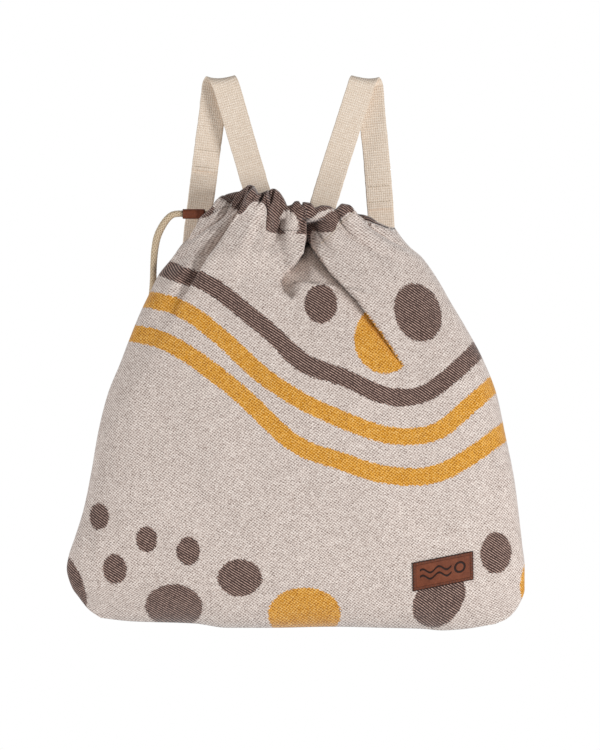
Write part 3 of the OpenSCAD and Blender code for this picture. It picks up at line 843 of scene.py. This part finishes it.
BROWN_WAVE = [(-150, 352), (-124, 342), (-94, 330), (-79, 322), (-43, 293), (-14, 269), (0, 253), (38, 238),
              (62, 228), (85, 217), (112, 217), (140, 234), (168, 259), (190, 282)]
GOLD_WAVES = [
    [(-165, 316), (-141, 313), (-125, 310), (-105, 303), (-79, 284), (-57, 265), (-36, 244), (-14, 229),
     (3, 218), (38, 202), (71, 189), (93, 184), (117, 184), (140, 193), (155, 207), (171, 221), (185, 232),
     (205, 248)],
    [(-175, 283), (-155, 281), (-142, 279), (-122, 273), (-101, 261), (-79, 245), (-57, 228), (-36, 209),
     (-14, 187), (3, 174), (46, 160), (70, 151), (93, 147), (117, 146), (140, 152), (155, 161), (176, 174),
     (193, 187), (210, 200)],
]
# half widths of the brown wave and of the upper and lower yellow ones
BROWN_HALF = 8.2
GOLD_HALVES = (8.0, 8.2)
# dots: X, height, half width, half height, turn
BROWN_DOTS = [(23, 308, 15.5, 18.5, 0), (113, 300, 22, 28, 20), (-185, 109, 9.5, 12.5, 0),
              (-140, 88, 10, 12, 0), (-101, 77, 11, 13.5, 0), (-170, 60, 11.5, 14, 0),
              (-53, 52, 21, 17.5, 0), (-115, 22, 27, 24, 0), (-218, 40, 19, 38, 17), (187, 75, 15, 19.5, 0),
              (133.3, 31.6, 28.7, 21.2, 48)]
GOLD_DOTS = [(83, 275, 29, 32, 0), (7.5, 17, 34, 26, 0), (226, 42, 15, 32, 0)]


def wave_distance(table, x, h, half):
    middle = sum(curve(table, x + off) for off in (-14, -7, 0, 7, 14)) / 5
    slope = (curve(table, x + 14) - curve(table, x - 14)) / 28
    return np.abs(h - middle) / np.sqrt(1 + slope ** 2) - half


def dot_distance(dot, x, h):
    cx, ch, rx, rh, turn = dot
    a = math.radians(turn)
    u = (x - cx) * math.cos(a) + (h - ch) * math.sin(a)
    v = -(x - cx) * math.sin(a) + (h - ch) * math.cos(a)
    return (np.sqrt((u / rx) ** 2 + (v / rh) ** 2) - 1) * min(rx, rh)


def nearest_dot(dots, x, h):
    return np.min([dot_distance(dot, x, h) for dot in dots], axis=0)


def nearest_wave(waves, x, h):
    return np.min([wave_distance(wave, x, h, half) for wave, half in zip(waves, GOLD_HALVES)], axis=0)


def front_pattern(x, h):
    """Signed distances to the brown and the yellow areas of the front. The lap covers part of a dot."""
    lap, _ = along(LAP, x, h)
    left, share = along(LEFT_FOLD, x, h)
    jog = 3.5 * step(1.5, -1.5, -left) * (1 - step(0.8, 1.0, share))
    brown = np.minimum(wave_distance(BROWN_WAVE, x, h - jog, BROWN_HALF), nearest_dot(BROWN_DOTS, x, h))
    beside_lap = np.maximum(dot_distance(GOLD_DOTS[0], x, h), lap)
    gold = np.minimum(nearest_wave(GOLD_WAVES, x, h), nearest_dot(GOLD_DOTS[1:], x, h))
    return brown, np.minimum(gold, beside_lap)


# ---------------------------------------------------------------- front panel

def spread(n, ends):
    """n shares from 0 to 1, closer together at the ends."""
    t = np.linspace(0, 1, n)
    return t - ends * np.sin(2 * math.pi * t) / (2 * math.pi)


FINE = 1.0
COLUMNS = int(330 * FINE)
ROWS = int(250 * FINE)


def panel_mesh(name, side, band_low, pattern):
    """Panel from the bottom seam to just inside its casing, which starts at band_low by X."""
    q, v = np.meshgrid(spread(COLUMNS, 0.25), spread(ROWS, 0.55))
    h = PANEL_LOW + (curve(band_low, mouth_x(q)) + 1.5 - PANEL_LOW) * v
    point, x = cloth_point(q, h, side)
    brown, gold = pattern(x, h)
    uv = np.stack([round_bag(q, h), h], -1).reshape(-1, 2)
    faces = grid_faces(ROWS, COLUMNS)
    if side > 0:
        faces = [f[::-1] for f in faces]
    values = {"brown": brown.ravel(), "gold": gold.ravel()}
    return mesh_piece(name, point.reshape(-1, 3), faces, TWILL, uv, values)


BACK_BROWN = [(-170, 352), (-132, 346), (-80, 322), (-20, 292), (40, 272), (90, 262), (130, 254),
              (170, 262), (200, 282)]
BACK_GOLD = [
    [(-180, 318), (-141, 313), (-90, 292), (-20, 258), (40, 238), (90, 226), (130, 218), (185, 232),
     (210, 248)],
    [(-190, 285), (-155, 281), (-90, 256), (-20, 220), (40, 196), (90, 184), (140, 178), (195, 190),
     (215, 204)],
]
BACK_BROWN_DOTS = [(60, 318, 16, 19, 0), (-40, 330, 12, 13, 0), (-172, 92, 11, 14, 0), (-120, 60, 19, 17, 0),
                   (-60, 96, 10, 12, 0), (-20, 70, 11, 13, 0), (66, 52, 22, 18, 0), (150, 84, 14, 17, 0),
                   (-219, 50, 18, 33, 14)]
BACK_GOLD_DOTS = [(-62, 14, 30, 30, 0), (120, 18, 26, 26, 0), (226, 46, 14, 26, 0)]


def back_pattern(x, h):
    brown = np.minimum(wave_distance(BACK_BROWN, x, h, BROWN_HALF), nearest_dot(BACK_BROWN_DOTS, x, h))
    return brown, np.minimum(nearest_wave(BACK_GOLD, x, h), nearest_dot(BACK_GOLD_DOTS, x, h))


front = panel_mesh("front_cloth", -1, FRONT_LOW, front_pattern)
thicken(front, 1.0)
settle(front, "bag", "front_panel")

back = panel_mesh("back_cloth", 1, BACK_LOW, back_pattern)
thicken(back, 1.0)
settle(back, "bag", "back_panel")


# ---------------------------------------------------------------- casings

# signed distances of a place that is well inside the brown, and of one far from any yellow
IN_BROWN = -6.0
NO_GOLD = 9.0


def front_casing_pattern(x, h, top, inside):
    """Brown hem with the greige bits that the gathers turn out: a patch, an edge and the two ends."""
    patch = -dot_distance((-6, 384, 8, 12, 22), x, h)
    lip, _ = along([(14, 385), (21, 391), (29, 394.5), (39, 398)], x, h)
    edge = np.interp(x, [13, 22, 40], [1.2, 2.6, 0.4]) - np.abs(lip)
    right = x - 51
    left = np.where(x < -61, (top - h) - 3.5 + 3 * soft_noise(x, h, 9, 5), IN_BROWN)
    left = np.minimum(left, dot_distance((-79, 395, 4.5, 7, -35), x, h))
    greige = np.maximum(np.maximum(patch, edge), np.maximum(right, left))
    return np.where(inside, IN_BROWN, np.maximum(IN_BROWN, greige)), np.full(x.shape, NO_GOLD)


def back_casing_pattern(x, h, top, inside):
    """Brown hem with greige at its two ends and one speck of yellow."""
    left = np.where(x < -50, (top - h) - 6 + 3 * soft_noise(x, h, 9, 6), IN_BROWN)
    gold = dot_distance((-15, 414, 3, 4, 0), x, h)
    return np.where(inside, IN_BROWN, np.maximum(left, x - 73)), gold


def casing_mesh(name, side, band_low, band_top, pattern):
    """Hem of a panel, turned over the cord: up its outer face, over the rim and down inside."""
    rows = int(64 * FINE)
    q, v = np.meshgrid(spread(COLUMNS, 0.25), np.linspace(0, 1, rows))
    at = mouth_x(q)
    low, top = curve(band_low, at) - 0.5, curve(band_top, at)
    rise, turn, fall = np.maximum(top - RIM - low, 1), math.pi * RIM, top - RIM - HEM_LOW
    run = v * (rise + turn + fall)
    angle = np.clip((run - rise) / RIM, 0, math.pi)
    down = np.clip(run - rise - turn, 0, None)
    h = np.where(run < rise, low + run, top - RIM + RIM * np.sin(angle)) - down
    inward = RIM * (1 - np.cos(angle)) - 0.35 * step(0, 4, run)
    point, _ = cloth_point(q, h, side, inward)
    brown, gold = pattern(at, h, top, angle > 1.9)
    uv = np.stack([1.35 * round_bag(q, 0 * q + MOUTH_H) + 400, low + run], -1).reshape(-1, 2)
    faces = grid_faces(rows, COLUMNS)
    if side > 0:
        faces = [f[::-1] for f in faces]
    values = {"brown": brown.ravel(), "gold": gold.ravel()}
    piece = mesh_piece(name, point.reshape(-1, 3), faces, TWILL, uv, values)
    thicken(piece, 0.9)
    return piece


front_casing = casing_mesh("front_casing", -1, FRONT_LOW, FRONT_TOP, front_casing_pattern)
settle(front_casing, "bag", "casing_front")

back_casing = casing_mesh("back_casing", 1, BACK_LOW, BACK_TOP, back_casing_pattern)
settle(back_casing, "bag", "casing_back")


def cloth_stitches(name, node, side, line, material):
    """Running stitches on the cloth along a line of (X, height) points."""
    path, _ = even_path([(x, h, 0) for x, h in line], 0.2)
    x, h = path[:, 0], path[:, 1]
    left, right = curve(LEFT, h), curve(RIGHT, h)
    share = np.clip((x - (left + right) / 2) / ((right - left) / 2), -0.999, 0.999)
    q = np.arccos(-np.sign(share) * np.abs(share) ** (1 / POWER)) / math.pi
    place, _ = cloth_point(q, h, side, -0.5)
    normal = bag_base(q, h, side)[2]
    length = np.r_[0, np.cumsum(np.linalg.norm(np.diff(place, axis=0), axis=1))]

    def at(values, d):
        return np.array([np.interp(d, length, values[:, k]) for k in range(3)])

    stitch, pitch = 2.2, 3.1
    starts = np.arange(0.5, length[-1] - 3, pitch)
    rows = [(at(place, d), at(place, d + stitch), at(normal, d + stitch / 2)) for d in starts]
    piece = stitch_mesh(name, rows, 0.33, material)
    settle(piece, "bag", node)


def band_line(low, high, raise_by):
    return [(x, curve(FRONT_LOW, x) + raise_by) for x in np.arange(low, high, 4.0)]


cloth_stitches("front_casing_thread_left", "casing_front_stitching", -1,
               band_line(-78, 16, 2.6), BROWN_THREAD)
cloth_stitches("front_casing_thread_right", "casing_front_stitching", -1,
               [(23, 364.5), (30, 371), (38, 380), (46, 389), (51, 394.5)], CREAM_THREAD)
cloth_stitches("back_casing_thread", "casing_back_stitching", 1,
               [(x, 382) for x in np.arange(-76, 78, 6)], BROWN_THREAD)


# ---------------------------------------------------------------- seams inside

TAPE_W = 7.0
TAPE_T = 1.6


def seam_tape(name, node, line, across):
    """Bound seam allowance: a tape along a line, turned towards across."""
    path, length = even_path(line, 3)
    way = unit(np.gradient(path, axis=0))
    wide = np.array(across, float) * np.ones(path.shape)
    thick = unit(np.cross(way, wide))
    at = np.linspace(0, length, len(path))
    ring = []
    for k in range(16):
        a = 2 * math.pi * k / 16
        off = TAPE_W / 2 * np.sign(math.cos(a)) * abs(math.cos(a)) ** 0.4
        up = TAPE_T / 2 * np.sign(math.sin(a)) * abs(math.sin(a)) ** 0.7
        wave = 0.5 * np.sin(at / 7) * (1 + math.cos(a))
        ring.append(path + wide * (off + TAPE_W / 2) + thick * (up + wave)[:, None])
    points = np.stack(ring, 1)
    faces = capped_faces(len(path), 16)
    uv = np.stack(np.broadcast_arrays(np.arange(16)[None] * 1.2, at[:, None]), -1).reshape(-1, 2)
    piece = mesh_piece(name, points.reshape(-1, 3), faces, TAPE, uv)
    outward(piece)
    settle(piece, "bag", node)


for side, edge, inward in (("left", LEFT, 1), ("right", RIGHT, -1)):
    seam_line = [(curve(edge, h) + 4 * inward, BAG_Y, h - ROD_H) for h in np.linspace(34, 320, 12)]
    seam_tape("seam_tape_" + side, "side_seam_" + side, seam_line, (inward, 0, 0))
seam_line = [(x, BAG_Y, 15 - ROD_H) for x in np.linspace(-130, 140, 12)]
seam_tape("seam_tape_bottom", "bottom_seam", seam_line, (0, 0, 1))


# ---------------------------------------------------------------- webbing straps

# middle lines of the webbing: X, Y, Z and its turn about Y in degrees
LEFT_UPPER = [
    [-36.2, -5.1, -104.2, 16], [-44, -5.6, -77, 16], [-52, -6, -50, 16], [-60, -6.3, -22, 16],
    [-65, -6.5, -5, 14], [-67.4, -6.2, 1.8, 11], [-69.2, -4.6, 4.8, 8], [-70.8, -1.7, 6.3, 6],
    [-72.6, 1.7, 6.3, 3.5], [-74.4, 4.6, 4.8, 1], [-76.1, 6.2, 1.8, -2], [-77.5, 6.5, -3, -5],
    [-80.5, 6.5, -30, -6.5], [-84, 6.5, -56, -6.5], [-87, 6.5, -80, -6.5],
]
LEFT_TOP_END = [[-22, -1.3, -152, 16], [-26.5, -4.1, -137, 16], [-30, -4.6, -125, 16]]
LEFT_LOWER = [
    [-84, 9, -56, -6.5], [-87, 9, -80, -6.5], [-95.5, 9, -150, -5], [-99.5, 8.8, -215, -4.5],
    [-102.5, 8.6, -265, -4.6], [-106.5, 8.5, -315, -4.6], [-111, 7.7, -371, -4.7], [-115, 5.1, -413, -4.7],
    [-117.2, 2.3, -440, -4.7], [-118.3, -0.8, -453, -4.7], [-119.3, -5, -466, -4.7],
    [-120.3, -10, -479, -4.7],
]
RIGHT_UPPER = [
    [27.6, -5.1, -104.2, -17.8], [36, -5.6, -77, -17.8], [44.7, -6, -50, -17.8], [53.7, -6.3, -22, -17.8],
    [59.3, -6.5, -5, -15], [61.3, -6.2, 1.8, -12.5], [62.8, -4.6, 4.8, -10], [64.2, -1.7, 6.3, -7.5],
    [65.7, 1.7, 6.3, -4.5], [67.1, 4.6, 4.8, -2], [68.6, 6.2, 1.8, 0.5], [70, 6.5, -3, 3], [72, 6.5, -30, 4],
    [75, 6.5, -60, 4], [77.5, 6.5, -90, 4], [79.5, 6.5, -116, 4],
]
RIGHT_TOP_END = [[12.3, -1.1, -152, -17.8], [17, -4.1, -137, -17.8], [21, -4.6, -125, -17.8]]
RIGHT_LOWER = [
    [77.5, 9, -90, 4], [79.5, 9, -116, 4], [81.5, 9, -150, 4], [84.2, 9.2, -215, 4], [86.5, 9.8, -265, 4],
    [90.5, 10.3, -315, 4], [95, 9.7, -371, 4], [98.3, 6.9, -413, 4], [100.2, 3.6, -440, 4],
    [101.1, 0.5, -453, 4], [102, -3.8, -466, 4], [103, -8.6, -479, 4],
]
WEB_W = 25.0
WEB_T = 2.1
STITCHES = 8
HINGE_Z = -440


def web_frame(line, spacing):
    path, length = even_path(line, spacing)
    way = unit(np.gradient(path[:, :3], axis=0))
    turn = np.radians(path[:, 3])
    wide = np.stack([np.cos(turn), np.zeros(len(turn)), np.sin(turn)], -1)
    wide = unit(wide - way * np.sum(way * wide, 1, keepdims=True))
    return path[:, :3], wide, unit(np.cross(way, wide)), length


def webbing(name, line, seed):
    """Flat webbing with rounded selvedges, along [x, y, z, turn] points."""
    centre, wide, thick, length = web_frame(line, 1.0)
    at = np.linspace(0, length, len(centre))
    flat = np.linspace(-1, 1, 15) * (WEB_W / 2 - 0.9)
    bead = [(WEB_W / 2 - 0.25, 0.75), (WEB_W / 2, 0), (WEB_W / 2 - 0.25, -0.75)]
    section = [(a, 1.0) for a in flat] + bead + [(a, -1.0) for a in flat[::-1]] + [(-a, -u) for a, u in bead]
    edge = 0.22 * soft_noise(at, 0 * at, 5, seed)
    ripple = 0.12 * soft_noise(at, 0 * at + 40, 9, seed + 1)
    rings = []
    for across, up in section:
        a = across + np.sign(across) * edge * (abs(across) / (WEB_W / 2)) ** 3
        lift = up * WEB_T / 2 + ripple * np.cos(across / 5)
        rings.append(centre + wide * a[:, None] + thick * lift[:, None])
    n = len(section)
    faces = capped_faces(len(centre), n)
    around = np.array([a for a, _ in section])[None]
    uv = np.stack(np.broadcast_arrays(around, at[:, None]), -1).reshape(-1, 2)
    piece = mesh_piece(name, np.stack(rings, 1).reshape(-1, 3), faces, WEBBING, uv)
    outward(piece)
    return piece, length


def web_stitches(name, node, body, line, shares, layers):
    """Rows of stitches across webbing, on the faces at the given distances from its middle line."""
    centre, wide, thick, _ = web_frame(line, 0.5)
    rows = []
    for share in shares:
        i = int(share * (len(centre) - 1))
        for k in range(STITCHES):
            a = (k - (STITCHES - 1) / 2) * (WEB_W - 3.4) / STITCHES
            for layer in layers:
                out = thick[i] * np.sign(layer) * np.sign(thick[i][1])
                middle = centre[i] + wide[i] * a + out * (abs(layer) + 0.1)
                rows.append((middle - wide[i] * 0.95, middle + wide[i] * 0.95, out))
    piece = stitch_mesh(name, rows, 0.34, CREAM_THREAD)
    settle(piece, body, node)


def strap(side, top_end, upper, lower, seed):
    """Both pieces of a strap, and the stitches at its lap and at its sewn ends."""
    body = "strap_" + side
    piece, length = webbing(f"{side}_webbing_upper", top_end + upper, seed)
    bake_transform(piece)
    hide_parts(body + "_upper", body + "_top_end")
    piece, length = webbing(f"{side}_webbing_lower", lower, seed + 5)
    end = [p for p in lower if p[2] <= HINGE_Z]
    x, y = (v * MM for v in end[0][:2])
    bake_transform(piece)
    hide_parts(body + "_lower", body + "_bottom_end")
    web_stitches(f"{side}_lap_thread", body + "_lap_stitching", body, lower, (0.012, 0.05), (WEB_T / 2, -3.6))
    top = [upper[0]] + top_end[::-1]
    for place, line in (("bottom", end), ("top", top)):
        web_stitches(f"{side}_{place}_thread", f"{body}_{place}_stitching", "bag", line,
                     (0.3, 0.5, 0.7, 0.9), (WEB_T / 2,))


strap("left", LEFT_TOP_END, LEFT_UPPER, LEFT_LOWER, 50)
strap("right", RIGHT_TOP_END, RIGHT_UPPER, RIGHT_LOWER, 60)


# ---------------------------------------------------------------- leather label

LABEL = (137.0, 58.0)
LABEL_SIZE = (58.0, 27.5)
LABEL_TURN = math.radians(11)
LABEL_T = 1.5


def label_frame():
    """Smooth surface under the label, fitted to the front cloth: y as a quadratic of along and up."""
    tree = BVHTree.FromObject(front, bpy.context.evaluated_depsgraph_get())
    a, u = np.meshgrid(np.linspace(-29, 29, 25), np.linspace(-14, 14, 13))
    x = LABEL[0] + a * math.cos(LABEL_TURN) - u * math.sin(LABEL_TURN)
    h = LABEL[1] + a * math.sin(LABEL_TURN) + u * math.cos(LABEL_TURN)
    hits = [tree.ray_cast(Vector((px * MM, -0.4, (ph - ROD_H) * MM)), Vector((0, 1, 0)))[0]
            for px, ph in zip(x.ravel(), h.ravel())]
    y = np.array([hit[1] for hit in hits]) / MM

    def basis(a, u):
        return np.stack([np.ones(a.shape), a, u, a * a, a * u, u * u], -1)

    fit = np.linalg.lstsq(basis(a.ravel(), u.ravel()), y, rcond=None)[0]
    gap = np.max(basis(a.ravel(), u.ravel()) @ fit - y)

    def place(a, u, off):
        x = LABEL[0] + a * math.cos(LABEL_TURN) - u * 0.02
        h = LABEL[1] + a * math.sin(LABEL_TURN) + u * math.cos(LABEL_TURN)
        y = basis(a, u) @ fit - gap * 0.6 - off
        return np.stack([x, y, h - ROD_H], -1)
    return place


def label(place):
    """Leather label with a pressed border and mark, and dark painted edges."""
    half_a, half_u = LABEL_SIZE[0] / 2, LABEL_SIZE[1] / 2
    across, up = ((240, 120))
    a, u = np.meshgrid(np.linspace(-half_a, half_a, across), np.linspace(-half_u, half_u, up))
    corner = np.minimum(half_a - np.abs(a), half_u - np.abs(u))
    edge_fall = 0.55 * (1 - step(0, 1.0, corner))
    border = bump((corner - 3.1) / 0.35)
    sun = np.abs(np.hypot(a - 16, u - 1) - 4.6)
    beyond = 99 * ((a < -22) | (a > 8))
    waves = [np.abs(u - (2.2 * np.sin((a + 8) * 0.4) + rise)) + beyond for rise in (3.6, -2.4)]
    mark = 1 - step(0.75, 1.25, np.minimum(sun, np.minimum(waves[0], waves[1])))
    off = LABEL_T - edge_fall - 0.35 * border - 0.4 * mark
    rim = 1 - step(0.3, 1.5, corner)
    dark = np.clip(rim + 0.8 * border + 0.95 * mark, 0, 1)
    top = place(a, u, off)
    under = place(a, u, np.zeros(a.shape))
    n = a.size
    faces = grid_faces(up, across)
    faces += [tuple(n + i for i in f[::-1]) for f in faces]
    loop_ids = (list(range(across)) + [across * (r + 1) - 1 for r in range(1, up)]
                + [across * (up - 1) + k for k in range(across - 2, -1, -1)]
                + [across * r for r in range(up - 2, 0, -1)])
    for i, j in zip(loop_ids, loop_ids[1:] + loop_ids[:1]):
        faces.append((j, i, n + i, n + j))
    points = np.concatenate([top.reshape(-1, 3), under.reshape(-1, 3)])
    uv = np.tile(np.stack([a, u], -1).reshape(-1, 2), (2, 1))
    edge = np.concatenate([dark.ravel(), np.ones(n)])
    piece = mesh_piece("leather_label", points, faces, LEATHER, uv, {"edge": edge})
    outward(piece)
    settle(piece, "bag", "label")


def label_stitches(place):
    """Stitches along the label's four edges: 19 on each long one and 8 on each short one."""
    rows = []
    inset_a, inset_u = (size / 2 - 1.8 for size in LABEL_SIZE)
    along_a, along_u, half = 19, 8, 1.0
    for k in range(along_a):
        a = -inset_a + (k + 0.5) * 2 * inset_a / along_a
        for s in (-1, 1):
            rows.append((a - half, s * inset_u, a + half, s * inset_u))
    for k in range(along_u):
        u = -inset_u + (k + 0.5) * 2 * inset_u / along_u
        for s in (-1, 1):
            rows.append((s * inset_a, u - half, s * inset_a, u + half))
    thick = np.array(LABEL_T)
    ends = [(place(np.array(a0), np.array(u0), thick), place(np.array(a1), np.array(u1), thick), (0, -1, 0))
            for a0, u0, a1, u1 in rows]
    thread = stitch_mesh("label_thread", ends, 0.28, DARK_THREAD)
    settle(thread, "bag", "label_stitching")


label_place = label_frame()
label(label_place)
label_stitches(label_place)
